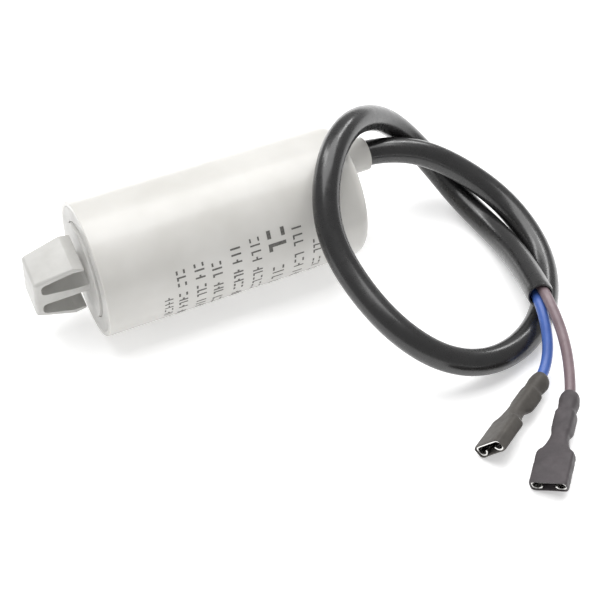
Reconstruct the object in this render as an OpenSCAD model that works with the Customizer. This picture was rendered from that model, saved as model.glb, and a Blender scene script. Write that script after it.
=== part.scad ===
// Motor run capacitor with a snap-in foot and a two-core lead.
// It lies on its side. +X runs along the can from the foot to the lead, +Z is up,
// and the origin is under the middle of the can, foot and lead collar, on the
// surface the part lies on. Millimetres.

/* [Can] */
// Outer diameter of the can at its foot end
can_d = 30; // [29:0.5:32]
// Length of the can between its two end faces
can_l = 60; // [58:1:62]
// How much narrower the can is at the lead end, for mould draft
can_draft = 0.4; // [0:0.1:0.6]
// Wall thickness of the can
can_wall = 1.7; // [1.4:0.1:1.8]
// Thickness of the moulded end at the lead side
can_end_t = 1.5; // [1.2:0.1:2]
// Radius of the rounded edge at the lead end
can_edge_r = 2.4; // [1:0.1:3]
// Width of the lid's step in the can wall
lid_step = 0.5; // [0.3:0.1:0.6]

/* [Lead collar] */
// Outer diameter of the collar that grips the lead
collar_d = 7.6; // [7.2:0.1:8.4]
// Length of the collar beyond the can's end face
collar_l = 7.6; // [6:0.2:10]
// Sideways offset of the collar from the can's axis
collar_y = 4.4; // [3:0.1:5]
// Upward offset of the collar from the can's axis
collar_z = 3.8; // [3:0.1:4.5]

/* [Lid and foot] */
// Thickness of the lid
lid_t = 2.5; // [2:0.1:3]
// Diameter of the raised boss on the lid
boss_d = 20.6; // [19:0.2:22]
// Height of the raised boss
boss_h = 0.6; // [0.4:0.1:0.8]
// Length of the foot from the can's end face to its tip
foot_l = 12.4; // [12:0.1:13]
// Width of the foot at its root
foot_w = 9.1; // [8.5:0.1:9.6]
// Width of the foot at its tip
foot_tip_w = 8.5; // [8:0.1:9]
// Spread of the two wings at their barbs
barb_spread = 16.5; // [16:0.1:17]
// Spread of the arrowhead at its tip
tip_spread = 11.6; // [11:0.1:12]
// Spread of the wings at their free ends
wing_end_spread = 14.8; // [14.4:0.1:15.2]
// Distance of the barbs from the can's end face
barb_x = 4; // [3.6:0.1:4.4]
// Distance of the wings' free ends from the can's end face
wing_end_x = 1.6; // [1.4:0.1:1.8]
// Thickness of a wing
wing_t = 1.35; // [1.2:0.05:1.5]
// Turn of the foot about the can's axis, in degrees
foot_turn = 9.9; // [0:0.1:20]

/* [Winding] */
// Diameter of the wound film
film_d = 21.2; // [20:0.1:21.2]
// Length of the wound film
film_l = 44; // [42:1:45]
// Outer diameter of the tube it is wound on
core_d = 6; // [5:0.5:7]
// Bore of that tube
core_bore = 3.6; // [3:0.2:4]
// Thickness of the sprayed metal contact on each end
contact_t = 0.5; // [0.4:0.1:0.6]

/* [Lead] */
// Outer diameter of the lead's sheath
sheath_d = 5.8; // [5.6:0.1:5.8]
// Outer diameter of each insulated core
core_wire_d = 2.3; // [2:0.1:2.3]
// Diameter of the stripped conductor
strand_d = 1.4; // [1:0.1:1.4]

/* [Terminals] */
// Length of a sleeved terminal
term_l = 23; // [22.6:0.1:23.4]
// Width of the receptacle body
rec_w = 7.2; // [7:0.1:7.2]
// Height of the receptacle body
rec_h = 2.6; // [2.5:0.1:2.6]
// Thickness of the receptacle's strip
rec_t = 0.4; // [0.3:0.05:0.4]
// Length of the receptacle body
rec_l = 7.8; // [7.5:0.1:7.8]
// Height left for the flat tab that goes in
tab_slot = 0.8; // [0.8:0.1:1]
// Wall thickness of the shrunk sleeve
sleeve_t = 0.3; // [0.25:0.05:0.35]

/* [Hidden] */
$fn = 96;

// colours
can_white = [0.93, 0.93, 0.91];
lid_grey = [0.80, 0.80, 0.78];
resin_col = [0.86, 0.82, 0.70];
film_col = [0.78, 0.79, 0.82];
zinc = [0.62, 0.63, 0.65];
solder_col = [0.75, 0.76, 0.78];
sheath_black = [0.07, 0.07, 0.08];
core_blue = [0.20, 0.35, 0.72];
core_brown = [0.48, 0.36, 0.38];
copper = [0.80, 0.50, 0.32];
tin = [0.80, 0.80, 0.80];
sleeve_grey = [0.33, 0.31, 0.30];

axis_z = can_d / 2;                                  // height of the can's axis
x_face = -(foot_l + can_l + collar_l) / 2 + foot_l;  // the foot end's face
x_end = x_face + can_l;                              // the lead end's face
can_r = can_d / 2;
end_r = can_r - can_draft / 2;                       // radius at the lead end
cav_r0 = can_r - can_wall;                           // cavity radius behind the lid
cav_r1 = end_r - can_wall;                           // and at the lead end
lid_r = cav_r0 + lid_step;                           // the lid sits on a step
cav_l = can_l - can_end_t;
film_x0 = x_face + 6.6;                              // ends of the wound film
film_x1 = film_x0 + film_l;
lead_r = core_wire_d / 2;
off_r = sqrt(collar_y * collar_y + collar_z * collar_z);
off_d = [0, collar_y / off_r, collar_z / off_r];     // from the can's axis to the lead's
sheath_in = x_end - 4.4;                             // where the sheath ends in the resin

// ---- small helpers ----
function unit(v) = v / norm(v);
// a point at radius r from the can's axis, towards the lead
function at(x, r) = [x, 0, axis_z] + r * off_d;
// points of a polygon whose corner i is rounded to radius rad[i]
function rounded(p, rad, n = 6) = [
    for (i = [0:len(p) - 1])
        let (a = p[(i + len(p) - 1) % len(p)], b = p[i], c = p[(i + 1) % len(p)],
             u = unit(a - b), v = unit(c - b),
             half = acos(max(-1, min(1, u * v))) / 2,
             r = rad[i], d = r > 0 ? r / tan(half) : 0,
             m = b + unit(u + v) * (r > 0 ? r / sin(half) : 0),
             a0 = atan2((b + u * d - m)[1], (b + u * d - m)[0]),
             a1 = atan2((b + v * d - m)[1], (b + v * d - m)[0]),
             sw = (a1 - a0 > 180) ? a1 - a0 - 360 : (a1 - a0 < -180) ? a1 - a0 + 360 : a1 - a0)
        each (r > 0 ? [for (k = [0:n]) m + r * [cos(a0 + sw * k / n), sin(a0 + sw * k / n)]] : [b])
];
// a turned shape about the can's axis, from [radius, distance from the foot face]
module turned(points) {
    translate([x_face, 0, axis_z]) rotate([0, 90, 0]) rotate_extrude() polygon(points);
}
// a round bar along +X
module bar_x(p, l, r) { translate(p) rotate([0, 90, 0]) cylinder(r = r, h = l); }
// a round bar from p to q
module rod(p, q, r) {
    d = q - p;
    translate(p) rotate([0, acos(d[2] / norm(d)), atan2(d[1], d[0])]) cylinder(r = r, h = norm(d));
}
// the ball that joins two bars at a bend
module elbow(p, r) { translate(p) sphere(r = r + 0.03); }

// ---- the route of a lead: one smooth curve on hand-set guide points ----
function guide(P, i) = i < 0 ? 2 * P[0] - P[1]
                     : i > len(P) - 1 ? 2 * P[len(P) - 1] - P[len(P) - 2] : P[i];
function curve(P, u) = let (i = min(floor(u), len(P) - 2), t = u - i)
    ((1 - t) * (1 - t) * (1 - t) * guide(P, i - 1)
     + (3 * t * t * t - 6 * t * t + 4) * guide(P, i)
     + (-3 * t * t * t + 3 * t * t + 3 * t + 1) * guide(P, i + 1)
     + t * t * t * guide(P, i + 2)) / 6;
function heading(P, u) = let (h = 0.01, n = len(P) - 1)
    unit(curve(P, min(n, u + h)) - curve(P, max(0, u - h)));
// no part of any route runs along this direction
side_ref = unit([-3, -6, 7.5]);
function ring(P, u, r, n) = let (t = heading(P, u), e = unit(cross(side_ref, t)), f = cross(t, e))
    [for (k = [0:n - 1]) curve(P, u) + r * (cos(360 * k / n) * e + sin(360 * k / n) * f)];
// a closed tube of n sides with a ring at each station of us
module tube(P, us, r, n) {
    pts = [for (u = us) each ring(P, u, r, n)];
    m = len(us);
    polyhedron(points = pts, faces = concat(
        [[for (k = [0:n - 1]) k]],
        [for (j = [0:m - 2]) for (k = [0:n - 1]) each
            let (a = j * n + k, b = j * n + (k + 1) % n, c = a + n, d = b + n)
            [[a, c, b], [b, c, d]]],
        [[for (k = [n - 1:-1:0]) (m - 1) * n + k]]), convexity = 10);
}

cy = collar_y;
cz = axis_z + collar_z;
lead_route = [[28, cy, cz], [36, cy, cz], [43, cy, cz], [53, 1.9, 17], [62, -3.2, 11.2],
    [68.6, -12, 6.4], [70, -25, 3], [65, -37, 3], [57, -46, 3], [45, -51, 4], [33, -50, 8.5],
    [24.5, -43, 15], [21, -31.5, 18.5], [19, -20.5, 24.5], [22.4, -11.4, 32.1], [31, -1.7, 34.7],
    [40.4, 5.1, 29.3], [49.3, 10, 20.4], [57, 6, 9.8], [61, -4, 3.3], [63.4, -16.5, 3],
    [62.5, -28.5, 6.2], [59, -42.5, 10.2]];
// rings are closer together where the lead passes over the can and over itself
lead_us = concat([0, 1, 2, 2.5], [for (u = [3:0.5:7]) u], [8, 9, 10, 11, 12, 13],
                 [for (u = [13.5:0.5:20]) u], [21, 22]);
blue_route = [[60.3, -35.1, 7.1], [59.6, -38, 8], [58.7, -41.3, 9.1], [57.9, -44.6, 9.3],
    [57.2, -47.7, 8.2], [56.4, -50.4, 6.8], [55.2, -53.1, 5.3], [53.4, -55.6, 4.1],
    [51.4, -57.4, 3.5], [49.3, -58.8, 3.5], [47.2, -60.2, 3.6]];
brown_route = [[61.4, -34.9, 8.9], [60.8, -37.6, 9.8], [60.1, -40.8, 10.7], [59.5, -44.1, 11],
    [59.1, -47.6, 10.4], [58.7, -51, 9.5], [57.9, -54.8, 8.3], [56.8, -58.3, 7],
    [55.4, -61.6, 5.7], [53.9, -64.6, 4.7], [52.3, -66.5, 4.4], [50.7, -68.3, 4.2]];

// ---- where the two terminals lie ----
module at_blue() { translate([32.1, -69.9, 4.25]) rotate([52, -2, -147.2]) translate([-term_l, 0, 0]) children(); }
module at_brown() { translate([38.9, -81.9, 2.8]) rotate([20, 4.8, -131.1]) translate([-term_l, 0, 0]) children(); }

// ---- can ----
cavity_pts = [[0, 0], [lid_r, 0], [lid_r, lid_t], [cav_r0, lid_t], [cav_r1, cav_l - 1], [cav_r1 - 1, cav_l], [0, cav_l]];
module can() {
    color(can_white) difference() {
        union() {
            turned(rounded([[0, 0], [can_r, 0], [end_r, can_l], [0, can_l]], [0, 0.25, can_edge_r, 0], 8));
            bar_x([x_end - 1, cy, cz], collar_l + 1, collar_d / 2);
            // small fillet at the collar's root
            translate([x_end, cy, cz]) rotate([0, 90, 0]) cylinder(r1 = collar_d / 2 + 0.5, r2 = collar_d / 2, h = 0.5);
        }
        turned(concat([[0, -1], [lid_r, -1]], [for (i = [1:len(cavity_pts) - 1]) cavity_pts[i]]));
        bar_x([x_end - can_end_t - 1, cy, cz], collar_l + can_end_t + 2, sheath_d / 2);
        // eased mouth
        translate([x_end + collar_l - 0.4, cy, cz]) rotate([0, 90, 0])
            cylinder(r1 = sheath_d / 2, r2 = sheath_d / 2 + 0.5, h = 0.5);
    }
}

// ---- lid with the snap-in foot, one moulding ----
barb_v = barb_spread / 2;
tip_v = tip_spread / 2;
wend_v = wing_end_spread / 2;
slope = (barb_v - tip_v) / (foot_l - barb_x);
// the arrowhead seen from the side: [along X, across]
arrow = rounded([[-wing_end_x, -wend_v], [-barb_x, -barb_v], [-foot_l, -tip_v], [-foot_l, tip_v],
                 [-barb_x, barb_v], [-wing_end_x, wend_v]], [0.2, 0.5, 1, 1, 0.5, 0.2]);
tip_wall = 1.5;
px = foot_l - tip_wall;
pocket = rounded([[-px, 1.8], [-px, tip_v + slope * tip_wall - wing_t], [-barb_x, barb_v - wing_t],
                  [-wing_end_x + 0.5, wend_v - 0.85], [-wing_end_x + 0.5, 1], [-barb_x, 1.15]],
                 [1.1, 1.3, 1, 0, 0, 0]);
module foot_side() {
    difference() {
        union() {
            polygon(arrow);
            translate([-wing_end_x - 0.5, -1]) square([wing_end_x + 0.5 + 0.5, 2]);
        }
        polygon(pocket);
        mirror([0, 1]) polygon(pocket);
    }
}
module foot_lid() {
    taper = atan((foot_w - foot_tip_w) / 2 / (foot_l - barb_x));
    color(lid_grey) {
        turned([[0, 0], [0, lid_t], [lid_r, lid_t], [lid_r, 0]]);
        turned([[0, 0.1], [boss_d / 2, 0.1], [boss_d / 2, -boss_h + 0.15], [boss_d / 2 - 0.15, -boss_h], [0, -boss_h]]);
        translate([x_face, 0, axis_z]) rotate([foot_turn, 0, 0]) difference() {
            rotate([90, 0, 0]) linear_extrude(height = foot_w, center = true) foot_side();
            for (s = [-1, 1]) translate([-barb_x, s * foot_w / 2, 0]) rotate([0, 0, s * taper])
                translate([-12, s > 0 ? 0 : -3, -15]) cube([12, 3, 30]);
        }
    }
}

// ---- the winding ----
module film_winding() {
    color(film_col) difference() {
        bar_x([film_x0, 0, axis_z], film_l, film_d / 2);
        bar_x([film_x0 - 1, 0, axis_z], film_l + 2, core_d / 2);
    }
}
module winding_core() {
    color("wheat") difference() {
        bar_x([film_x0 - contact_t, 0, axis_z], film_l + 2 * contact_t, core_d / 2);
        bar_x([film_x0 - 2, 0, axis_z], film_l + 4, core_bore / 2);
    }
}
module contact(x) {
    color(zinc) difference() {
        bar_x([x, 0, axis_z], contact_t, film_d / 2);
        bar_x([x - 1, 0, axis_z], contact_t + 2, core_d / 2);
    }
}
module contact_foot_side() { contact(film_x0 - contact_t); }
module contact_lead_side() { contact(film_x1); }

// ---- the lead's two inner tails and their joints ----
tail = 1.25;                       // each tail's distance from the lead's own axis
long_r = film_d / 2 + lead_r + 0.15;  // the long tail runs beside the winding
back_x = film_x0 - contact_t - 1.9;   // turns in behind the far contact
joint_r = 7.6;                        // and ends on it at this radius
module long_tail() {
    turn_x = sheath_in - 1.8;
    bar_x(at(turn_x, off_r + tail), 1.8, lead_r);
    elbow(at(turn_x, off_r + tail), lead_r);
    rod(at(turn_x, off_r + tail), at(turn_x, long_r), lead_r);
    elbow(at(turn_x, long_r), lead_r);
    bar_x(at(back_x, long_r), turn_x - back_x, lead_r);
    elbow(at(back_x, long_r), lead_r);
    rod(at(back_x, long_r), at(back_x, joint_r), lead_r);
    elbow(at(back_x, joint_r), lead_r);
    bar_x(at(back_x, joint_r), film_x0 - contact_t - back_x, lead_r);
}
module short_tail() {
    p = at(film_x1 + contact_t, off_r - tail);
    bar_x(p, sheath_in - p[0], lead_r);
}
module inner_lead_long() { color(core_blue) long_tail(); }
module inner_lead_short() { color(core_brown) short_tail(); }
// a collar of solder round a tail that butts on a contact
module solder(h) {
    rotate_extrude() polygon([[lead_r, 0], [2.3, 0], [2, 0.25 * h], [1.5, 0.7 * h], [lead_r, h]]);
}
module far_joint() { translate(at(film_x0 - contact_t, joint_r)) rotate([0, -90, 0]) solder(0.65); }
module near_joint() { translate(at(film_x1 + contact_t, off_r - tail)) rotate([0, 90, 0]) solder(1.6); }
module solder_joint_far() { color(solder_col) far_joint(); }
module solder_joint_near() { color(solder_col) near_joint(); }

// ---- resin: all of the cavity that nothing else fills ----
module potting_resin() {
    color(resin_col) difference() {
        turned([for (p = [[0, lid_t], [cav_r0, lid_t], [cav_r1, cav_l - 1], [cav_r1 - 1, cav_l], [0, cav_l]]) p]);
        difference() {
            bar_x([film_x0 - contact_t, 0, axis_z], film_l + 2 * contact_t, film_d / 2);
            bar_x([film_x0 - 2, 0, axis_z], film_l + 4, core_bore / 2);
        }
        long_tail();
        short_tail();
        far_joint();
        near_joint();
        bar_x([sheath_in, cy, cz], 10, sheath_d / 2);
    }
}

// ---- the lead ----
module cable_sheath() { color(sheath_black) tube(lead_route, lead_us, sheath_d / 2, 12); }
module blue_core() { color(core_blue) tube(blue_route, [for (u = [0:1:len(blue_route) - 1]) u], core_wire_d / 2, 8); }
module brown_core() { color(core_brown) tube(brown_route, [for (u = [0:1:len(brown_route) - 1]) u], core_wire_d / 2, 8); }
module wire_end() { color(copper) bar_x([5, 0, -0.1], 4.9, strand_d / 2); }
module blue_wire_end() { at_blue() wire_end(); }
module brown_wire_end() { at_brown() wire_end(); }

// ---- receptacle: rolled strip, flat plate on top, two curled rails below ----
hw = rec_w / 2;
hh = rec_h / 2;
lip_y = 1.4;
module rail() {
    difference() {
        polygon(rounded([[lip_y, -hh], [hw, -hh], [hw, hh], [lip_y, hh]], [0.8, 1.05, 0.7, 0]));
        polygon(rounded([[lip_y + rec_t, -hh + rec_t], [hw - rec_t, -hh + rec_t], [hw - rec_t, hh - rec_t], [lip_y + rec_t, hh - rec_t]],
                        [0.4, 0.65, 0.35, 0]));
        translate([lip_y - 1, hh - rec_t - tab_slot]) square([1 + rec_t + 0.3, tab_slot]);
    }
}
module rec_section() {
    rail();
    mirror([1, 0]) rail();
    translate([-lip_y - 0.2, hh - rec_t]) square([2 * lip_y + 0.4, rec_t]);
}
// extrude a section in the Y-Z plane along X
module along(x, l) { translate([x, 0, 0]) rotate([90, 0, 90]) linear_extrude(height = l) children(); }
module receptacle() {
    x0 = term_l - 0.2 - rec_l;
    color(tin) difference() {
        union() {
            along(x0, rec_l) rec_section();
            // the strip narrows towards the crimps
            translate([0, 0, hh - rec_t]) linear_extrude(height = rec_t)
                polygon([[0.7, -1.2], [9.6, -1.2], [12, -1.3], [x0 + 0.2, -3], [x0 + 0.2, 3], [12, 1.3], [9.6, 1.2], [0.7, 1.2]]);
            for (s = [-1, 1]) translate([10.2, s * 1.1 - 0.2, -0.1]) cube([3.2, rec_t, hh]);
            // conductor crimp: its wings fold in from both sides
            along(5.6, 3.6) {
                polygon(rounded([[-1.75, hh], [-1.75, -1.5], [-0.1, -2], [0, -1.75], [0.1, -2], [1.75, -1.5], [1.75, hh]],
                                [0.3, 0.9, 0.05, 0, 0.05, 0.9, 0.3]));
            }
            // insulation crimp
            along(1, 2.4) {
                translate([0, -0.1]) circle(r = 1.5);
                polygon(rounded([[-1.2, hh], [-1.45, -1.1], [0, -1.95], [1.45, -1.1], [1.2, hh]], [0.2, 0.5, 0.3, 0.5, 0.2]));
            }
        }
        bar_x([0, 0, -0.1], 5, core_wire_d / 2);
        bar_x([4.5, 0, -0.1], 6, strand_d / 2);
    }
}
module blue_receptacle() { at_blue() receptacle(); }
module brown_receptacle() { at_brown() receptacle(); }

// ---- sleeve: shrunk over the whole receptacle ----
// stations along it: [x, half width, top, bottom, squareness]
sleeve_st = [[0, 1.55, 1.45, -1.65, 2], [0.9, 1.9, 1.65, -2.15, 2.2], [2.2, 2, 1.7, -2.35, 2.3],
    [3.4, 1.9, 1.65, -2.2, 2.2], [4.4, 1.85, 1.65, -2, 2.2], [5.6, 2.1, 1.65, -2.3, 2.6], [7.4, 2.15, 1.65, -2.4, 2.6],
    [9.2, 2.05, 1.65, -2.1, 2.6], [11, 1.8, 1.65, -1.45, 2.6], [13, 2, 1.65, -1.35, 2.8], [14.4, 2.6, 1.65, -1.5, 3.2],
    [15.2, 3.75, 1.65, -1.6, 4.5], [16, 3.95, 1.6, -1.6, 5.5], [23, 3.95, 1.6, -1.6, 5.5]];
sides = 32;
function sgn(v) = v < 0 ? -1 : 1;
function oval(s, inset) = let (w = s[1] - inset, top = s[2] - inset, bot = s[3] + inset, m = (top + bot) / 2, h = (top - bot) / 2, e = 2 / s[4])
    [for (k = [0:sides - 1]) let (c = cos(360 * k / sides), q = sin(360 * k / sides))
        [s[0], w * sgn(c) * pow(abs(c), e), m + h * sgn(q) * pow(abs(q), e)]];
module sleeve() {
    m = len(sleeve_st);
    n = sides;
    pts = concat([for (s = sleeve_st) each oval(s, 0)], [for (s = sleeve_st) each oval(s, sleeve_t)]);
    o = m * n;
    color(sleeve_grey) polyhedron(points = pts, faces = concat(
        [for (j = [0:m - 2]) for (k = [0:n - 1]) each
            let (a = j * n + k, b = j * n + (k + 1) % n, c = a + n, d = b + n) [[a, c, b], [b, c, d]]],
        [for (j = [0:m - 2]) for (k = [0:n - 1]) each
            let (a = o + j * n + k, b = o + j * n + (k + 1) % n, c = a + n, d = b + n) [[a, b, c], [b, d, c]]],
        [for (k = [0:n - 1]) each let (a = k, b = (k + 1) % n) [[a, b, o + a], [b, o + b, o + a]]],
        [for (k = [0:n - 1]) each let (a = (m - 1) * n + k, b = (m - 1) * n + (k + 1) % n) [[a, o + a, b], [b, o + a, o + b]]]),
        convexity = 10);
}
module blue_sleeve() { at_blue() sleeve(); }
module brown_sleeve() { at_brown() sleeve(); }

can();
foot_lid();
film_winding();
winding_core();
contact_foot_side();
contact_lead_side();
potting_resin();
inner_lead_long();
inner_lead_short();
solder_joint_far();
solder_joint_near();
cable_sheath();
blue_core();
brown_core();
blue_wire_end();
brown_wire_end();
blue_receptacle();
brown_receptacle();
blue_sleeve();
brown_sleeve();
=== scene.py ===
import math
import random

import bmesh
import bpy
import numpy as np
from mathutils import Matrix, Vector


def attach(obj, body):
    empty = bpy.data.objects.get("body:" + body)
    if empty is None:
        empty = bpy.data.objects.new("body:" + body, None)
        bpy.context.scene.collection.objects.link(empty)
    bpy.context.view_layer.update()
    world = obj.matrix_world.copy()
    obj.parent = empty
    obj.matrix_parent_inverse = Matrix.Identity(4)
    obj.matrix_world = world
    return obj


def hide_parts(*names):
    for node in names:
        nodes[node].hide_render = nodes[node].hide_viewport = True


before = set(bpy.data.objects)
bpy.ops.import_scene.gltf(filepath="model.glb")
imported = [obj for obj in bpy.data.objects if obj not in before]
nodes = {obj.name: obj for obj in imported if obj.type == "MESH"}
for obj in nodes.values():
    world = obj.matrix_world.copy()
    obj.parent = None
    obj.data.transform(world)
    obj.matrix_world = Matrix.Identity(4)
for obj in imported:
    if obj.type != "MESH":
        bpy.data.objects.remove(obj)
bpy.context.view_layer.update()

MM = 0.001


# ------------------------------------------------------------------ camera
def make_camera():
    cam = bpy.data.cameras.new("camera")
    ob = bpy.data.objects.new("camera", cam)
    bpy.context.scene.collection.objects.link(ob)
    right = Vector((0.9114, -0.4115, 0.0))
    up = Vector((0.3059, 0.6776, 0.6688))
    back = right.cross(up).normalized()
    up = back.cross(right).normalized()
    right = right.normalized()
    m = Matrix((right, up, back)).transposed().to_4x4()
    m.translation = Vector((-81.2, -228.9, 261.7)) * MM
    ob.matrix_world = m
    cam.sensor_width = 36.0
    cam.lens = 96.0
    cam.clip_start, cam.clip_end = 0.02, 20.0
    bpy.context.scene.camera = ob
    return ob


make_camera()


# ------------------------------------------------------------------ geometry helpers
def new_mesh(name, verts, faces, smooth=True, sharp=None):
    me = bpy.data.meshes.new(name)
    me.from_pydata([tuple(v) for v in verts], [], [tuple(f) for f in faces])
    me.validate()
    bm = bmesh.new()
    bm.from_mesh(me)
    bmesh.ops.recalc_face_normals(bm, faces=bm.faces)
    if sharp is not None:
        for e in bm.edges:
            if len(e.link_faces) == 2 and e.calc_face_angle(0.0) > math.radians(sharp):
                e.smooth = False
    for f in bm.faces:
        f.smooth = smooth
    bm.to_mesh(me)
    bm.free()
    ob = bpy.data.objects.new(name, me)
    bpy.context.scene.collection.objects.link(ob)
    return ob


def bspline(points, n):
    p = np.array(points, float)
    q = np.vstack([2 * p[0] - p[1], p, 2 * p[-1] - p[-2]])
    out = []
    for i in range(len(q) - 3):
        for k in range(n):
            t = k / n
            b = np.array([(1 - t) ** 3, 3 * t ** 3 - 6 * t ** 2 + 4, -3 * t ** 3 + 3 * t ** 2 + 3 * t + 1, t ** 3]) / 6
            out.append(b @ q[i:i + 4])
    out.append((q[-3] + 4 * q[-2] + q[-1]) / 6)
    return np.array(out)


def even(path, step):
    d = np.r_[0, np.cumsum(np.linalg.norm(np.diff(path, axis=0), axis=1))]
    n = max(2, int(round(d[-1] / step)))
    s = np.linspace(0, d[-1], n + 1)
    return np.stack([np.interp(s, d, path[:, k]) for k in range(3)], 1), s


def frames(path):
    t = np.gradient(path, axis=0)
    t /= np.linalg.norm(t, axis=1)[:, None]
    ref = np.array([-3.0, -6.0, 7.5])
    e = np.cross(ref, t[0])
    e /= np.linalg.norm(e)
    es = []
    for k in range(len(path)):
        e = e - (e @ t[k]) * t[k]
        e /= np.linalg.norm(e)
        es.append(e)
    es = np.array(es)
    return t, es, np.cross(t, es)


def hollow_tube(name, path, r_out, r_in, sides, lip=0.0, wobble=None):
    """A tube with an open bore along its whole length, closed at both rims."""
    t, e, f = frames(path)
    m = len(path)
    s = np.r_[0, np.cumsum(np.linalg.norm(np.diff(path, axis=0), axis=1))]
    verts, faces = [], []
    for skin, r in ((0, r_out), (1, r_in)):
        for j in range(m):
            rr = r
            if skin == 0 and wobble is not None:
                rr = r * (1 + wobble(s[j]))
            c = path[j]
            if skin == 0 and lip > 0 and j in (0, m - 1):
                rr = r - lip
            for k in range(sides):
                a = 2 * math.pi * k / sides
                verts.append(c + rr * (math.cos(a) * e[j] + math.sin(a) * f[j]))
    o = m * sides
    for j in range(m - 1):
        for k in range(sides):
            k2 = (k + 1) % sides
            a, b = j * sides + k, j * sides + k2
            faces.append((a, b, b + sides, a + sides))
            faces.append((o + a, o + a + sides, o + b + sides, o + b))
    for k in range(sides):
        k2 = (k + 1) % sides
        faces.append((k, o + k, o + k2, k2))
        z = (m - 1) * sides
        faces.append((z + k, z + k2, o + z + k2, o + z + k))
    return new_mesh(name, verts, faces, sharp=50)


# ------------------------------------------------------------------ the lead: routes repeated from the frame
LEAD = np.array([(28, 4.4, 18.8), (36, 4.4, 18.8), (43, 4.4, 18.8), (53, 1.9, 17), (62, -3.2, 11.2),
    (68.6, -12, 6.4), (70, -25, 3), (65, -37, 3), (57, -46, 3), (45, -51, 4), (33, -50, 8.5),
    (24.5, -43, 15), (21, -31.5, 18.5), (19, -20.5, 24.5), (22.4, -11.4, 32.1), (31, -1.7, 34.7),
    (40.4, 5.1, 29.3), (49.3, 10, 20.4), (57, 6, 9.8), (61, -4, 3.3), (63.4, -16.5, 3),
    (62.5, -28.5, 6.2), (59, -42.5, 10.2)]) * MM
BLUE = np.array([(60.3, -35.1, 7.1), (59.6, -38, 8), (58.7, -41.3, 9.1), (57.9, -44.6, 9.3),
    (57.2, -47.7, 8.2), (56.4, -50.4, 6.8), (55.2, -53.1, 5.3), (53.4, -55.6, 4.1),
    (51.4, -57.4, 3.5), (49.3, -58.8, 3.5), (47.2, -60.2, 3.6)]) * MM
BROWN = np.array([(61.4, -34.9, 8.9), (60.8, -37.6, 9.8), (60.1, -40.8, 10.7), (59.5, -44.1, 11),
    (59.1, -47.6, 10.4), (58.7, -51, 9.5), (57.9, -54.8, 8.3), (56.8, -58.3, 7),
    (55.4, -61.6, 5.7), (53.9, -64.6, 4.7), (52.3, -66.5, 4.4), (50.7, -68.3, 4.2)]) * MM
SHEATH_D, CORE_D = 5.8 * MM, 2.3 * MM


lead_path, _ = even(bspline(LEAD, 24), 0.9 * MM)
blue_path, _ = even(bspline(BLUE, 24), 0.5 * MM)
brown_path, _ = even(bspline(BROWN, 24), 0.5 * MM)

sheath = hollow_tube("lead_sheath", lead_path, SHEATH_D / 2, 2.42 * MM, 44, lip=0.12 * MM)
blue = hollow_tube("core_blue", blue_path, CORE_D / 2, 0.84 * MM, 28, lip=0.05 * MM)
brown = hollow_tube("core_brown", brown_path, CORE_D / 2, 0.84 * MM, 28, lip=0.05 * MM)


# ------------------------------------------------------------------ the terminals' places
TERM_L = 23.0


def place(m, roll, pitch, yaw):
    """Row-frame matrix of a terminal: x along it to its mouth, y across, z towards its flat plate."""
    return (Matrix.Translation(Vector(m) * MM) @ Matrix.Rotation(math.radians(yaw), 4, "Z")
            @ Matrix.Rotation(math.radians(pitch), 4, "Y") @ Matrix.Rotation(math.radians(roll), 4, "X")
            @ Matrix.Translation((-TERM_L * MM, 0, 0)))


AT_BLUE = place((32.1, -69.9, 4.25), 52, -2, -147.2)
AT_BROWN = place((38.9, -81.9, 2.8), 20, 4.8, -131.1)

# [x, half width, top, bottom, squareness]
STATIONS = np.array([(0, 1.55, 1.45, -1.65, 2), (0.9, 1.95, 1.65, -2.15, 2.4), (2.2, 2.05, 1.7, -2.35, 3), (3.4, 1.95, 1.65, -2.25, 2.8),
    (4.4, 1.9, 1.65, -2.05, 2.6), (5.5, 2.15, 1.65, -2.35, 4.2), (7.4, 2.15, 1.65, -2.4, 4.2), (9.3, 2.12, 1.65, -2.3, 4.2),
    (11, 1.85, 1.65, -1.5, 3), (13, 2.25, 1.65, -1.4, 3.6), (14.4, 3, 1.65, -1.5, 4.2), (15.1, 3.8, 1.65, -1.6, 5),
    (16, 3.95, 1.6, -1.6, 5.5), (23, 3.95, 1.6, -1.6, 5.5)])


def pchip(x, y, xs):
    """Smooth interpolation that never overshoots."""
    h = np.diff(x)
    d = np.diff(y) / h
    m = np.zeros(len(x))
    for i in range(1, len(x) - 1):
        if d[i - 1] * d[i] > 0:
            w1, w2 = 2 * h[i] + h[i - 1], h[i] + 2 * h[i - 1]
            m[i] = (w1 + w2) / (w1 / d[i - 1] + w2 / d[i])
    m[0], m[-1] = d[0], d[-1]
    k = np.clip(np.searchsorted(x, xs, "right") - 1, 0, len(x) - 2)
    t = (xs - x[k]) / h[k]
    return ((1 + 2 * t) * (1 - t) ** 2 * y[k] + t * (1 - t) ** 2 * h[k] * m[k]
            + t * t * (3 - 2 * t) * y[k + 1] + t * t * (t - 1) * h[k] * m[k + 1])


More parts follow.
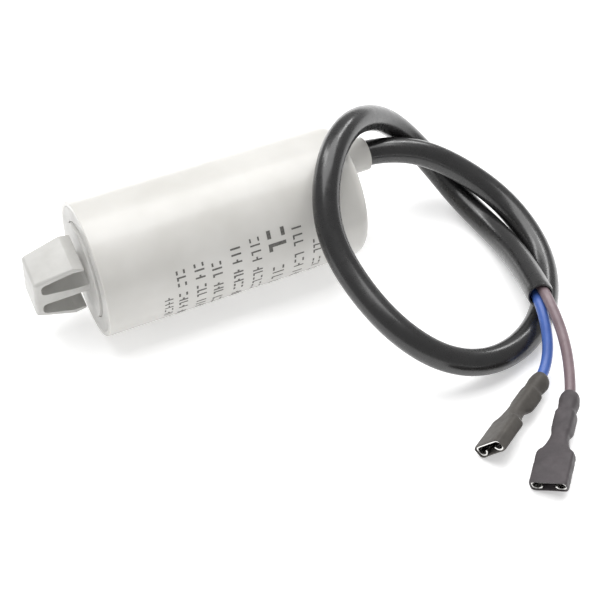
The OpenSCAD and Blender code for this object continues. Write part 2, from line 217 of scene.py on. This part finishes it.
def sleeve(name, at, seed):
    rnd = random.Random(seed)
    xs = np.r_[np.linspace(0, 14, 70), np.linspace(14.15, 16.2, 22), np.linspace(16.5, 23, 22)]
    col = [pchip(STATIONS[:, 0], STATIONS[:, k], xs) for k in range(1, 5)]
    n = 64
    wt = 0.3
    verts, faces = [], []
    ph = [rnd.uniform(0, 6.28) for _ in range(6)]
    for skin in (0, 1):
        for j, x in enumerate(xs):
            w, top, bot, q = (c[j] for c in col)
            ins = wt * skin
            edge = 0.0
            if skin == 0 and j in (0, len(xs) - 1):
                edge = 0.07
            w2, t2, b2 = w - ins - edge, top - ins - edge, bot + ins + edge
            mid, h = (t2 + b2) / 2, (t2 - b2) / 2
            for k in range(n):
                a = 2 * math.pi * k / n
                c, s = math.cos(a), math.sin(a)
                y = w2 * math.copysign(abs(c) ** (2 / q), c)
                z = mid + h * math.copysign(abs(s) ** (2 / q), s)
                # the film dips over the rails' open middle
                if s < 0:
                    dip = math.exp(-((c / 0.22) ** 2))
                    if x > 15.6:
                        z += 0.12 * dip * min(1, (x - 15.6) / 1.5)
                if skin == 0:
                    sw = 0.03 * math.sin(2.1 * x + ph[0]) * math.sin(3 * a + ph[1]) + 0.02 * math.sin(4.7 * x + ph[2] + 2 * a)
                    shrink = 1 - max(0, sw) * 0.35
                    y *= shrink
                    z *= shrink
                verts.append(at @ Vector((x * MM, y * MM, z * MM)))
    m = len(xs)
    o = m * n
    for j in range(m - 1):
        for k in range(n):
            k2 = (k + 1) % n
            a, b = j * n + k, j * n + k2
            faces.append((a, b, b + n, a + n))
            faces.append((o + a, o + a + n, o + b + n, o + b))
    for k in range(n):
        k2 = (k + 1) % n
        faces.append((k, o + k, o + k2, k2))
        z0 = (m - 1) * n
        faces.append((z0 + k, z0 + k2, o + z0 + k2, o + z0 + k))
    return new_mesh(name, verts, faces, sharp=55)


def slab(at, points, a, b, along, verts, faces):
    """A closed solid: points in the plane across `along`, drawn out from a to b."""
    base, n = len(verts), len(points)
    for t in (a, b):
        for p in points:
            q = (t, p[0], p[1]) if along == "x" else (p[0], p[1], t)
            verts.append(at @ (Vector(q) * MM))
    for k in range(n):
        k2 = (k + 1) % n
        faces.append((base + k, base + k2, base + n + k2, base + n + k))
    faces.append(tuple(base + k for k in range(n)))
    faces.append(tuple(base + n + k for k in reversed(range(n))))


def receptacle(name, at):
    """Bent strip: a flat back, two edges rolled in towards the tab, and two crimps."""
    verts, faces = [], []
    r, cy, half = 1.1, 2.5, 0.19
    line = []
    for i in range(31):                                   # right roll, from its free end out and up to the back
        a = math.radians(-172 + (90 + 172) * i / 30)
        line.append((cy + r * math.cos(a), r * math.sin(a)))
    line += [(cy - (2 * cy) * k / 6, r) for k in range(1, 6)]
    line += [(-y, z) for y, z in reversed(line[:31])]
    line = np.array(line)
    t = np.gradient(line, axis=0)
    t /= np.linalg.norm(t, axis=1)[:, None]
    nrm = np.stack([t[:, 1], -t[:, 0]], 1)
    n = len(line)
    xs = (15.0, 22.72, 22.8)
    rows = []
    for x, h in zip(xs, (half, half, half - 0.07)):
        base = len(verts)
        for sgn in (1, -1):
            for p in line + sgn * h * nrm:
                verts.append(at @ (Vector((x, p[0], p[1])) * MM))
        rows.append(base)
    for b0, b1 in zip(rows, rows[1:]):
        for k in range(n - 1):
            faces.append((b0 + k, b0 + k + 1, b1 + k + 1, b1 + k))
            faces.append((b0 + n + k, b1 + n + k, b1 + n + k + 1, b0 + n + k + 1))
        faces.append((b0, b1, b1 + n, b0 + n))
        faces.append((b0 + n - 1, b0 + 2 * n - 1, b1 + 2 * n - 1, b1 + n - 1))
    for b in (rows[0], rows[-1]):
        for k in range(n - 1):
            faces.append((b + k, b + n + k, b + n + k + 1, b + k + 1))
    slab(at, [(0.7, -1.2), (9.6, -1.2), (12, -1.3), (15.4, -2.9), (15.4, 2.9), (12, 1.3), (9.6, 1.2), (0.7, 1.2)], 0.9, 1.25, "z", verts, faces)
    for sgn in (-1, 1):
        y = sgn * 1.1
        slab(at, [(y - 0.2, -0.1), (y + 0.2, -0.1), (y + 0.2, 0.95), (y - 0.2, 0.95)], 10.2, 13.4, "x", verts, faces)
    crimp = [(-1.7, 1.2), (-1.75, -1.0), (-1.5, -1.5), (-0.6, -1.9), (-0.1, -1.9), (0, -1.7), (0.1, -1.9), (0.6, -1.9), (1.5, -1.5), (1.75, -1.0), (1.7, 1.2)]
    slab(at, crimp, 5.6, 9.2, "x", verts, faces)
    slab(at, [(-1.2, 1.2), (-1.5, 0), (-1.4, -1.1), (-0.3, -1.8), (0.3, -1.8), (1.4, -1.1), (1.5, 0), (1.2, 1.2)], 1, 3.4, "x", verts, faces)
    return new_mesh(name, verts, faces, sharp=32)


strip_blue = receptacle("receptacle_on_blue", AT_BLUE)
strip_brown = receptacle("receptacle_on_brown", AT_BROWN)
sleeve_blue = sleeve("sleeve_on_blue", AT_BLUE, 3)
sleeve_brown = sleeve("sleeve_on_brown", AT_BROWN, 8)


# ------------------------------------------------------------------ can: one turned shell with its collar
X0, X1, AX = -27.6, 32.4, 15.0
R0, R1 = 15.0, 14.8


def lathe(profile, n, centre_y=0.0, centre_z=AX):
    """profile: [x, radius] in mm, a closed loop; returns verts, faces."""
    verts, faces = [], []
    m = len(profile)
    for x, r in profile:
        for k in range(n):
            a = 2 * math.pi * k / n
            verts.append(Vector((x, centre_y + r * math.sin(a), centre_z + r * math.cos(a))) * MM)
    for j in range(m):
        j2 = (j + 1) % m
        for k in range(n):
            k2 = (k + 1) % n
            faces.append((j * n + k, j * n + k2, j2 * n + k2, j2 * n + k))
    return verts, faces


def arc(cx, cr, r, a0, a1, n):
    return [(cx + r * math.cos(math.radians(a0 + (a1 - a0) * i / n)), cr + r * math.sin(math.radians(a0 + (a1 - a0) * i / n)))
            for i in range(n + 1)]


def make_can():
    er = 2.4
    prof = []
    prof += arc(X0 + 0.2, R0 - 0.2, 0.2, 180, 90, 5)            # rim at the foot end
    for i in range(1, 40):
        t = i / 40
        prof.append((X0 + 0.2 + t * (X1 - er - X0 - 0.2), R0 + t * (R1 - R0)))
    prof += arc(X1 - er, R1 - er, er, 90, 2, 14)                # rounded edge at the lead end
    for r in (11.8, 11, 10, 9):
        prof.append((X1, r))
    prof.append((X1, 0.001))
    prof.append((X1 - 1.5, 0.001))
    prof += [(X1 - 1.5, 12.1), (X1 - 2.5, 13.1), (X0 + 2.5, 13.3), (X0 + 2.5, 13.8), (X0 + 0.12, 13.8), (X0, 13.92)]
    v, f = lathe(prof, 256)
    body = new_mesh("can_shell", v, f, sharp=35)
    bm = bmesh.new()
    bm.from_mesh(body.data)
    bmesh.ops.remove_doubles(bm, verts=bm.verts, dist=1e-5 * 0.5)
    bmesh.ops.recalc_face_normals(bm, faces=bm.faces)
    bm.to_mesh(body.data)
    bm.free()
    # collar with a small fillet at its root and an eased mouth
    cp = [(X1 - 1.4, 3.8)]
    cp += [(X1 - 0.2, 4.6)] + arc(X1 + 0.75, 4.55, 0.75, 180, 270, 8)
    cp += [(X1 + 7.6 - 0.35, 3.8)]
    cp += arc(X1 + 7.6 - 0.35, 3.45, 0.35, 90, 0, 6)
    cp += arc(X1 + 7.6 - 0.3, 3.2, 0.3, 0, -90, 4)
    cp += [(X1 + 7.0, 2.9), (X1 - 1.4, 2.9)]
    v, f = lathe(cp, 128, 4.4, 18.8)
    col = new_mesh("collar_tmp", v, f, sharp=50)
    # the hole through the end wall
    cut_v, cut_f = lathe([(X1 - 3, 2.9), (X1 + 9, 2.9), (X1 + 9, 0.001), (X1 - 3, 0.001)], 128, 4.4, 18.8)
    cut = new_mesh("cut_tmp", cut_v, cut_f)
    for tool, op in ((cut, "DIFFERENCE"), (col, "UNION")):
        md = body.modifiers.new("b", "BOOLEAN")
        md.object, md.operation, md.solver = tool, op, "EXACT"
        bpy.context.view_layer.update()
        dg = bpy.context.evaluated_depsgraph_get()
        me = bpy.data.meshes.new_from_object(body.evaluated_get(dg))
        body.modifiers.clear()
        body.data = me
    bpy.data.objects.remove(cut)
    bpy.data.objects.remove(col)
    bm = bmesh.new()
    bm.from_mesh(body.data)
    bmesh.ops.remove_doubles(bm, verts=bm.verts, dist=1e-6)
    for fc in bm.faces:
        fc.smooth = True
    for e in bm.edges:
        e.smooth = not (len(e.link_faces) == 2 and e.calc_face_angle(0.0) > math.radians(35))
    bm.to_mesh(body.data)
    bm.free()
    return body


can = make_can()


# ------------------------------------------------------------------ lid and foot: the frame's own form with eased edges
def eased_copy(node, name, width, angle=25, segments=3):
    src = nodes[node]
    me = src.data.copy()
    me.name = name
    ob = bpy.data.objects.new(name, me)
    bpy.context.scene.collection.objects.link(ob)
    bm = bmesh.new()
    bm.from_mesh(me)
    bmesh.ops.remove_doubles(bm, verts=bm.verts, dist=2e-6)
    bmesh.ops.dissolve_limit(bm, angle_limit=math.radians(0.6), verts=bm.verts, edges=bm.edges)
    bmesh.ops.recalc_face_normals(bm, faces=bm.faces)
    for f in bm.faces:
        f.smooth = True
    bm.to_mesh(me)
    bm.free()
    me.attributes.get("custom_normal") and me.attributes.remove(me.attributes["custom_normal"])
    bm = bmesh.new()
    bm.from_mesh(me)
    wl = bm.edges.layers.float.new("bevel_weight_edge")
    for e in bm.edges:
        if len(e.link_faces) == 2 and e.calc_face_angle(0.0) > math.radians(angle):
            out = all(v.co.x < -31.0 * MM for v in e.verts)
            e[wl] = 1.0 if out else 0.42
    bm.to_mesh(me)
    bm.free()
    md = ob.modifiers.new("ease", "BEVEL")
    md.width, md.segments, md.limit_method = width, segments, "WEIGHT"
    md.harden_normals = False
    bpy.context.view_layer.update()
    dg = bpy.context.evaluated_depsgraph_get()
    me2 = bpy.data.meshes.new_from_object(ob.evaluated_get(dg))
    ob.modifiers.clear()
    ob.data = me2
    bm = bmesh.new()
    bm.from_mesh(me2)
    for f in bm.faces:
        f.smooth = True
    for e in bm.edges:
        e.smooth = not (len(e.link_faces) == 2 and e.calc_face_angle(0.0) > math.radians(30))
    bm.to_mesh(me2)
    bm.free()
    return ob


lid = eased_copy("foot_lid", "lid_with_foot", 0.62 * MM)


def groove(ob):
    """A fine recess round the boss."""
    v, f = lathe([(X0 - 0.1, 10.34), (X0 - 0.1, 10.66), (X0 + 0.35, 10.6), (X0 + 0.35, 10.4)], 160)
    ring = new_mesh("groove_tmp", v, f)
    md = ob.modifiers.new("g", "BOOLEAN")
    md.object, md.operation, md.solver = ring, "DIFFERENCE", "EXACT"
    bpy.context.view_layer.update()
    me = bpy.data.meshes.new_from_object(ob.evaluated_get(bpy.context.evaluated_depsgraph_get()))
    ob.modifiers.clear()
    ob.data = me
    bpy.data.objects.remove(ring)
    bm = bmesh.new()
    bm.from_mesh(me)
    for fc in bm.faces:
        fc.smooth = True
    for e in bm.edges:
        e.smooth = not (len(e.link_faces) == 2 and e.calc_face_angle(0.0) > math.radians(30))
    bm.to_mesh(me)
    bm.free()


groove(lid)


def apply_boolean(ob, tool, op):
    md = ob.modifiers.new("b", "BOOLEAN")
    md.object, md.operation, md.solver = tool, op, "EXACT"
    bpy.context.view_layer.update()
    me = bpy.data.meshes.new_from_object(ob.evaluated_get(bpy.context.evaluated_depsgraph_get()))
    ob.modifiers.clear()
    ob.data = me
    bpy.data.objects.remove(tool)


def round_foot(ob):
    """The foot's moulded corners: the foot is cut to a hull of balls set just inside its edges."""
    turn = Matrix.Translation((X0 * MM, 0, AX * MM)) @ Matrix.Rotation(math.radians(9.9), 4, "X")
    balls = bmesh.new()
    for x, y, z, r in ((-11.5, 3.36, 5.08, 0.9), (-4, 4.2, 7.9, 0.35), (-0.8, 4.2, 7.05, 0.35)):
        for sy in (-1, 1):
            for sz in (-1, 1):
                bmesh.ops.create_icosphere(balls, subdivisions=4, radius=r * MM, matrix=turn @ Matrix.Translation(Vector((x, sy * y, sz * z)) * MM))
    bm = bmesh.new()
    for v in balls.verts:
        bm.verts.new(v.co)
    balls.free()
    res = bmesh.ops.convex_hull(bm, input=bm.verts)
    loose = {g for g in res["geom_interior"] + res["geom_unused"] if isinstance(g, bmesh.types.BMVert)}
    bmesh.ops.delete(bm, geom=list(loose), context="VERTS")
    bmesh.ops.delete(bm, geom=[v for v in bm.verts if not v.link_faces], context="VERTS")
    bmesh.ops.recalc_face_normals(bm, faces=bm.faces)
    me = bpy.data.meshes.new("hull_tmp")
    bm.to_mesh(me)
    bm.free()
    hull = bpy.data.objects.new("hull_tmp", me)
    bpy.context.scene.collection.objects.link(hull)
    v, f = lathe([(X0 - 1.0, 18), (X0 + 6, 18), (X0 + 6, 0.001), (X0 - 1.0, 0.001)], 64)
    apply_boolean(hull, new_mesh("slab_tmp", v, f), "UNION")
    apply_boolean(ob, hull, "INTERSECT")
    bm = bmesh.new()
    bm.from_mesh(ob.data)
    bmesh.ops.remove_doubles(bm, verts=bm.verts, dist=1e-6)
    for fc in bm.faces:
        fc.smooth = True
    for e in bm.edges:
        e.smooth = not (len(e.link_faces) == 2 and e.calc_face_angle(0.0) > math.radians(30))
    bm.to_mesh(ob.data)
    bm.free()


round_foot(lid)


# ------------------------------------------------------------------ print: plain bars and marks, generic
def on_can(x, deg, lift):
    r = (R0 + (x - X0) / (X1 - X0) * (R1 - R0) + lift)
    a = math.radians(deg)
    return Vector((x, -r * math.sin(a), AX + r * math.cos(a))) * MM


def print_marks():
    """Rows of short plain bars that run round the can, stacked along it."""
    rnd = random.Random(11)
    verts, faces = [], []

    def bar(x0, x1, d0, d1):
        n = max(2, int(abs(d1 - d0) / 1.5) + 1)
        base = len(verts)
        for i in range(n + 1):
            d = d0 + (d1 - d0) * i / n
            for lift in (0.004, 0.02):
                verts.append(on_can(x0, d, lift))
                verts.append(on_can(x1, d, lift))
        for i in range(n):
            a = base + i * 4
            b = a + 4
            faces.append((a + 2, a + 3, b + 3, b + 2))
            faces.append((a, b, b + 1, a + 1))
            faces.append((a, a + 2, b + 2, b))
            faces.append((a + 1, b + 1, b + 3, a + 3))
        faces.append((base, base + 1, base + 3, base + 2))
        e = base + n * 4
        faces.append((e, e + 2, e + 3, e + 1))

    deg = 360 / (2 * math.pi * 14.95)  # one millimetre round the can

    def row(x, height, start, end, cell, stroke):
        """Plain bars, a little like the rhythm of small print but no letters."""
        d = start
        while d < end:
            word = rnd.randint(3, 6)
            for _ in range(word):
                if d + cell * deg > end:
                    return
                kind = rnd.random()
                w = cell * 0.62 * deg
                if kind < 0.45:
                    bar(x, x + height, d, d + stroke * deg)
                    if rnd.random() < 0.6:
                        bar(x, x + stroke, d + stroke * deg, d + w)
                elif kind < 0.75:
                    bar(x, x + stroke, d, d + w)
                    bar(x + height - stroke, x + height, d, d + w)
                else:
                    bar(x + height * 0.5 - stroke / 2, x + height * 0.5 + stroke / 2, d, d + w)
                    bar(x, x + height, d + w - stroke * deg, d + w)
                d += cell * deg
            d += cell * 0.9 * deg


    row(-15.4, 1.9, 90, 150, 1.35, 0.30)
    row(-12.2, 2.0, 67, 150, 1.5, 0.42)
    row(-8.2, 2.2, 66, 150, 1.4, 0.42)
    row(-4.4, 2.2, 70, 150, 1.4, 0.42)
    row(0.2, 2.2, 63, 150, 1.4, 0.42)
    row(4.6, 2.2, 60, 150, 1.5, 0.36)
    row(8.6, 4.0, 58, 92, 3.1, 0.85)
    row(9.2, 2.6, 95, 150, 1.9, 0.40)
    row(14.2, 2.2, 62, 150, 1.7, 0.38)
    row(18.6, 1.8, 78, 150, 1.5, 0.34)
    return new_mesh("print_marks", verts, faces, smooth=False)


marks = print_marks()


# ------------------------------------------------------------------ materials
def base_material(name, color, rough, metallic=0.0, spec=0.5, coat=0.0, coat_rough=0.1, sss=0.0, sss_radius=(1, 1, 1), sheen=0.0):
    m = bpy.data.materials.new(name)
    m.use_nodes = True
    nt = m.node_tree
    b = nt.nodes["Principled BSDF"]
    b.inputs["Base Color"].default_value = (*color, 1)
    b.inputs["Roughness"].default_value = rough
    b.inputs["Metallic"].default_value = metallic
    b.inputs["Specular IOR Level"].default_value = spec
    b.inputs["Coat Weight"].default_value = coat
    b.inputs["Coat Roughness"].default_value = coat_rough
    b.inputs["Sheen Weight"].default_value = sheen
    if sss > 0:
        b.inputs["Subsurface Weight"].default_value = sss
        b.inputs["Subsurface Radius"].default_value = sss_radius
        b.inputs["Subsurface Scale"].default_value = 0.001
    return m, nt, b


def coords(nt):
    tc = nt.nodes.new("ShaderNodeTexCoord")
    return tc.outputs["Object"]


def noise(nt, vec, scale, detail=4.0, rough=0.5, distortion=0.0, stretch=None):
    if stretch is not None:
        mp = nt.nodes.new("ShaderNodeMapping")
        mp.inputs["Scale"].default_value = stretch
        nt.links.new(vec, mp.inputs["Vector"])
        vec = mp.outputs["Vector"]
    n = nt.nodes.new("ShaderNodeTexNoise")
    n.inputs["Scale"].default_value = scale
    n.inputs["Detail"].default_value = detail
    n.inputs["Roughness"].default_value = rough
    n.inputs["Distortion"].default_value = distortion
    nt.links.new(vec, n.inputs["Vector"])
    return n.outputs["Fac"]


def ramp(nt, fac, stops):
    r = nt.nodes.new("ShaderNodeValToRGB")
    cr = r.color_ramp
    while len(cr.elements) < len(stops):
        cr.elements.new(0.5)
    for el, (p, c) in zip(cr.elements, stops):
        el.position = p
        el.color = (*c, 1) if len(c) == 3 else c
    nt.links.new(fac, r.inputs["Fac"])
    return r.outputs["Color"]


def span(nt, fac, lo, hi, a=0.3, b=0.7):
    r = nt.nodes.new("ShaderNodeMapRange")
    r.inputs["From Min"].default_value = a
    r.inputs["From Max"].default_value = b
    r.inputs["To Min"].default_value = lo
    r.inputs["To Max"].default_value = hi
    nt.links.new(fac, r.inputs["Value"])
    return r.outputs["Result"]


def bump(nt, b, height, strength, distance):
    n = nt.nodes.new("ShaderNodeBump")
    n.inputs["Strength"].default_value = strength
    n.inputs["Distance"].default_value = distance
    nt.links.new(height, n.inputs["Height"])
    prev = b.inputs["Normal"].links
    if prev:
        nt.links.new(prev[0].from_socket, n.inputs["Normal"])
    nt.links.new(n.outputs["Normal"], b.inputs["Normal"])


def can_plastic():
    m, nt, b = base_material("can_plastic", (0.70, 0.69, 0.66), 0.30, spec=0.5, coat=0.25, coat_rough=0.16, sss=0.10, sss_radius=(1.2, 1.1, 0.9))
    v = coords(nt)
    big = noise(nt, v, 90, 3, 0.5)
    c = ramp(nt, big, [(0.3, (0.535, 0.525, 0.497)), (0.7, (0.60, 0.59, 0.565))])
    nt.links.new(c, b.inputs["Base Color"])
    flow = noise(nt, v, 260, 5, 0.6, stretch=(0.25, 1, 1))
    nt.links.new(span(nt, flow, 0.28, 0.42), b.inputs["Roughness"])
    fine = noise(nt, v, 2600, 3, 0.6)
    bump(nt, b, fine, 0.10, 0.00004)
    scuff = noise(nt, v, 1100, 2, 0.5, 0.3, stretch=(0.12, 1, 1))
    bump(nt, b, scuff, 0.06, 0.00004)
    return m


def lid_plastic():
    m, nt, b = base_material("lid_plastic", (0.62, 0.615, 0.60), 0.42, spec=0.45, sss=0.10, sss_radius=(1.0, 0.95, 0.85))
    v = coords(nt)
    big = noise(nt, v, 160, 4, 0.55)
    nt.links.new(ramp(nt, big, [(0.3, (0.435, 0.430, 0.412)), (0.7, (0.525, 0.52, 0.502))]), b.inputs["Base Color"])
    nt.links.new(span(nt, noise(nt, v, 420, 4, 0.6), 0.34, 0.5), b.inputs["Roughness"])
    bump(nt, b, noise(nt, v, 2400, 4, 0.65), 0.16, 0.00005)
    return m


def sheath_pvc():
    m, nt, b = base_material("sheath_pvc", (0.018, 0.018, 0.019), 0.30, spec=0.5, coat=0.35, coat_rough=0.14)
    v = coords(nt)
    nt.links.new(ramp(nt, noise(nt, v, 140, 4, 0.6), [(0.3, (0.0075, 0.0073, 0.0076)), (0.7, (0.013, 0.0126, 0.013))]), b.inputs["Base Color"])
    nt.links.new(span(nt, noise(nt, v, 520, 5, 0.65), 0.22, 0.36), b.inputs["Roughness"])
    bump(nt, b, noise(nt, v, 900, 4, 0.6), 0.14, 0.00006)
    bump(nt, b, noise(nt, v, 3600, 2, 0.5), 0.10, 0.00002)
    return m


def core_insulation(name, lo, hi):
    m, nt, b = base_material(name, hi, 0.38, spec=0.5, coat=0.08, coat_rough=0.25, sss=0.06)
    v = coords(nt)
    nt.links.new(ramp(nt, noise(nt, v, 300, 4, 0.6), [(0.3, lo), (0.7, hi)]), b.inputs["Base Color"])
    nt.links.new(span(nt, noise(nt, v, 900, 4, 0.6), 0.32, 0.48), b.inputs["Roughness"])
    bump(nt, b, noise(nt, v, 2200, 3, 0.6), 0.12, 0.00003)
    return m


def sleeve_material(name, lo, hi):
    m, nt, b = base_material(name, hi, 0.6, spec=0.35, sheen=0.08)
    v = coords(nt)
    nt.links.new(ramp(nt, noise(nt, v, 260, 5, 0.6), [(0.28, lo), (0.72, hi)]), b.inputs["Base Color"])
    nt.links.new(span(nt, noise(nt, v, 700, 4, 0.6), 0.5, 0.72), b.inputs["Roughness"])
    bump(nt, b, noise(nt, v, 520, 3, 0.55), 0.18, 0.00012)
    bump(nt, b, noise(nt, v, 3000, 3, 0.6), 0.12, 0.00003)
    return m


def metal(name, lo, hi, r0, r1, scale=900, strength=0.1, metallic=1.0):
    m, nt, b = base_material(name, hi, r0, metallic=metallic)
    v = coords(nt)
    nt.links.new(ramp(nt, noise(nt, v, scale * 0.5, 4, 0.6), [(0.3, lo), (0.7, hi)]), b.inputs["Base Color"])
    nt.links.new(span(nt, noise(nt, v, scale, 5, 0.6), r0, r1), b.inputs["Roughness"])
    bump(nt, b, noise(nt, v, scale * 3, 3, 0.6), strength, 0.00003)
    return m


def plain_part(name, lo, hi, r0, r1, scale=400, strength=0.15):
    m, nt, b = base_material(name, hi, r0)
    v = coords(nt)
    nt.links.new(ramp(nt, noise(nt, v, scale * 0.4, 4, 0.6), [(0.3, lo), (0.7, hi)]), b.inputs["Base Color"])
    nt.links.new(span(nt, noise(nt, v, scale, 5, 0.6), r0, r1), b.inputs["Roughness"])
    bump(nt, b, noise(nt, v, scale * 3, 3, 0.6), strength, 0.00005)
    return m


def ink():
    m, nt, b = base_material("print_ink", (0.09, 0.088, 0.08), 0.5, spec=0.4)
    v = coords(nt)
    nt.links.new(ramp(nt, noise(nt, v, 1800, 4, 0.65), [(0.3, (0.07, 0.068, 0.062)), (0.75, (0.16, 0.155, 0.145))]), b.inputs["Base Color"])
    nt.links.new(span(nt, noise(nt, v, 900, 3, 0.5), 0.42, 0.6), b.inputs["Roughness"])
    return m


def dress(ob, mat):
    ob.data.materials.clear()
    ob.data.materials.append(mat)


def dress_node(node, mat):
    ob = nodes[node]
    if not ob.material_slots:
        ob.data.materials.append(mat)
    for s in ob.material_slots:
        s.material = mat


M_CAN, M_LID, M_PVC = can_plastic(), lid_plastic(), sheath_pvc()
M_BLUE = core_insulation("blue_insulation", (0.045, 0.105, 0.36), (0.065, 0.14, 0.45))
M_BROWN = core_insulation("brown_insulation", (0.165, 0.118, 0.130), (0.225, 0.165, 0.180))
M_SLB = sleeve_material("sleeve_warm_grey", (0.055, 0.050, 0.045), (0.085, 0.078, 0.070))
M_SLR = sleeve_material("sleeve_cool_grey", (0.050, 0.044, 0.047), (0.080, 0.069, 0.074))
M_TIN = metal("tinned_strip", (0.70, 0.69, 0.67), (0.86, 0.85, 0.83), 0.16, 0.32)
M_CU = metal("copper_strands", (0.62, 0.30, 0.18), (0.80, 0.44, 0.28), 0.25, 0.45)
M_ZINC = metal("sprayed_zinc", (0.42, 0.43, 0.45), (0.62, 0.63, 0.65), 0.5, 0.75, 1400, 0.5)
M_SOLDER = metal("solder", (0.60, 0.61, 0.63), (0.78, 0.79, 0.80), 0.18, 0.35)
M_FILM = metal("wound_film", (0.55, 0.58, 0.63), (0.74, 0.76, 0.80), 0.2, 0.35, 600, 0.1, 0.7)
M_RESIN = plain_part("cast_resin", (0.66, 0.60, 0.46), (0.78, 0.73, 0.60), 0.25, 0.45)
M_CORE = plain_part("core_tube", (0.70, 0.64, 0.50), (0.80, 0.76, 0.64), 0.4, 0.55)
M_INK = ink()

dress(can, M_CAN)
dress(lid, M_LID)
dress(sheath, M_PVC)
dress(blue, M_BLUE)
dress(brown, M_BROWN)
dress(sleeve_blue, M_SLB)
dress(sleeve_brown, M_SLR)
dress(marks, M_INK)
dress(strip_blue, M_TIN)
dress(strip_brown, M_TIN)
for n, mt in (("blue_wire_end", M_CU), ("brown_wire_end", M_CU),
              ("film_winding", M_FILM), ("winding_core", M_CORE), ("contact_foot_side", M_ZINC), ("contact_lead_side", M_ZINC),
              ("potting_resin", M_RESIN), ("inner_lead_long", M_BLUE), ("inner_lead_short", M_BROWN),
              ("solder_joint_far", M_SOLDER), ("solder_joint_near", M_SOLDER)):
    dress_node(n, mt)

for piece in (can, lid, sheath, blue, brown, strip_blue, strip_brown, sleeve_blue, sleeve_brown, marks):
    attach(piece, "root")
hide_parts("can")
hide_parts("foot_lid")
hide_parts("cable_sheath")
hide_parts("blue_core")
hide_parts("brown_core")
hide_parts("blue_receptacle")
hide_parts("brown_receptacle")
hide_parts("blue_sleeve")
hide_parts("brown_sleeve")


# ------------------------------------------------------------------ studio
def studio():
    me = bpy.data.meshes.new("floor")
    s = 3.0
    me.from_pydata([(-s, -s, 0), (s, -s, 0), (s, s, 0), (-s, s, 0)], [], [(0, 1, 2, 3)])
    floor = bpy.data.objects.new("floor", me)
    bpy.context.scene.collection.objects.link(floor)
    floor.location.z = -0.00002
    m, nt, b = base_material("floor_white", (0.93, 0.93, 0.93), 0.9, spec=0.1)
    nt.links.new(ramp(nt, noise(nt, coords(nt), 3, 2, 0.5), [(0.3, (0.925, 0.925, 0.925)), (0.7, (0.935, 0.935, 0.935))]), b.inputs["Base Color"])
    b.inputs["Emission Color"].default_value = (1, 1, 1, 1)
    b.inputs["Emission Strength"].default_value = 0.34
    me.materials.append(m)
    w = bpy.data.worlds.new("studio")
    bpy.context.scene.world = w
    w.use_nodes = True
    bg = w.node_tree.nodes["Background"]
    bg.inputs["Color"].default_value = (1, 1, 1, 1)
    bg.inputs["Strength"].default_value = 0.50

    def area(name, loc, target, size, power, size_y=None):
        l = bpy.data.lights.new(name, "AREA")
        l.shape = "RECTANGLE"
        l.size, l.size_y = size, size_y or size
        l.energy = power
        o = bpy.data.objects.new(name, l)
        bpy.context.scene.collection.objects.link(o)
        o.location = loc
        o.rotation_mode = "QUATERNION"
        o.rotation_quaternion = (Vector(target) - Vector(loc)).to_track_quat("-Z", "Y")
        return o

    area("overhead", (0.03, 0.20, 0.95), (0.02, -0.02, 0.0), 1.1, 9.5, 0.8)
    area("back_left", (-0.16, 0.40, 0.50), (0.0, 0.0, 0.01), 0.10, 0.9, 0.42)
    area("back_right", (0.42, 0.26, 0.42), (0.03, -0.01, 0.01), 0.10, 0.9, 0.36)
    bpy.context.scene.view_settings.view_transform = "Standard"
    bpy.context.scene.view_settings.look = "None"


studio()
